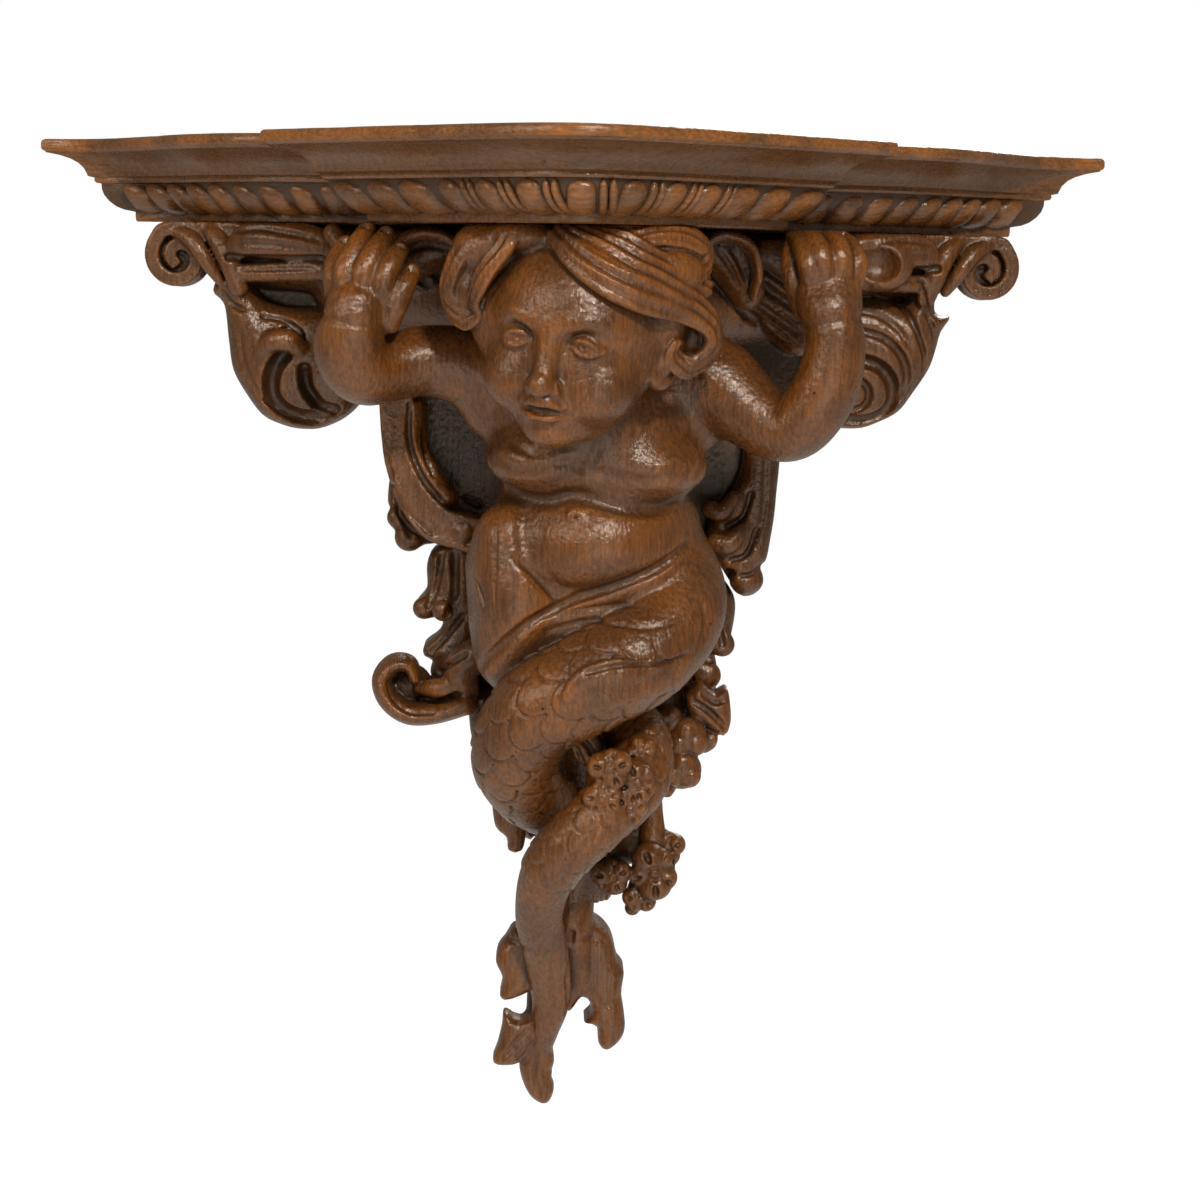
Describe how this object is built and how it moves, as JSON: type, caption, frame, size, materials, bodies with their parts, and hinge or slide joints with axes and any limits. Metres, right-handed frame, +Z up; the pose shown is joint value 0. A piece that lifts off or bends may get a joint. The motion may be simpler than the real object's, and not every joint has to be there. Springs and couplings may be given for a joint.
{
  "type": "wall console",
  "caption": "Carved wooden wall console: bow-fronted moulded shelf with a gadroon band, held up by a winged scroll bracket carved as a child triton with crossed scaly tails.",
  "frame": {"origin": "on the flat back where it meets the wall, on the centre line, 40 mm under the shelf's underside", "axes": "+X to the viewer's right along the wall, +Y into the wall, +Z up; the front faces -Y"},
  "size_m": [0.48, 0.203, 0.4288],
  "materials": {
    "shelf_wood": "stained and waxed walnut brown, worn to golden brown on the lip, dusty in the cove",
    "carved_wood": "stained and varnished walnut brown, glossy where it is rubbed, near black in the recesses"
  },
  "bodies": {
    "root": {"shelf": "shelf_wood", "carved_bracket": "carved_wood"}
  },
  "joints": []
}
